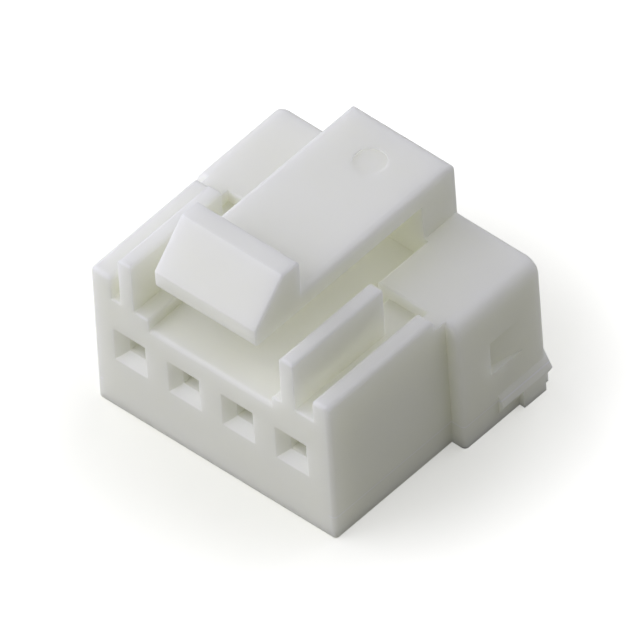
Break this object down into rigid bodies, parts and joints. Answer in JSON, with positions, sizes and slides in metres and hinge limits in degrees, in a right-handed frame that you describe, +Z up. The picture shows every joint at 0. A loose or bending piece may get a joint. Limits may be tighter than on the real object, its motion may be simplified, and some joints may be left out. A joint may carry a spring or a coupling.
{
  "type": "wire to board connector housing",
  "caption": "Moulded wire-side housing of a low-profile board connector, with a row of contact cavities, polarising ribs and a flexing latch with a slanted hook.",
  "frame": {"origin": "middle of the rectangle under the part, at the level of its flat underside", "axes": "+X along the row of contacts, +Y from the mating face to the wire side, +Z up from the underside to the latch"},
  "size_m": [0.0102, 0.0084, 0.0079],
  "materials": {
    "moulded_nylon": "natural off-white nylon, slightly translucent, soft satin"
  },
  "bodies": {
    "root": {"housing": "moulded_nylon"}
  },
  "joints": []
}
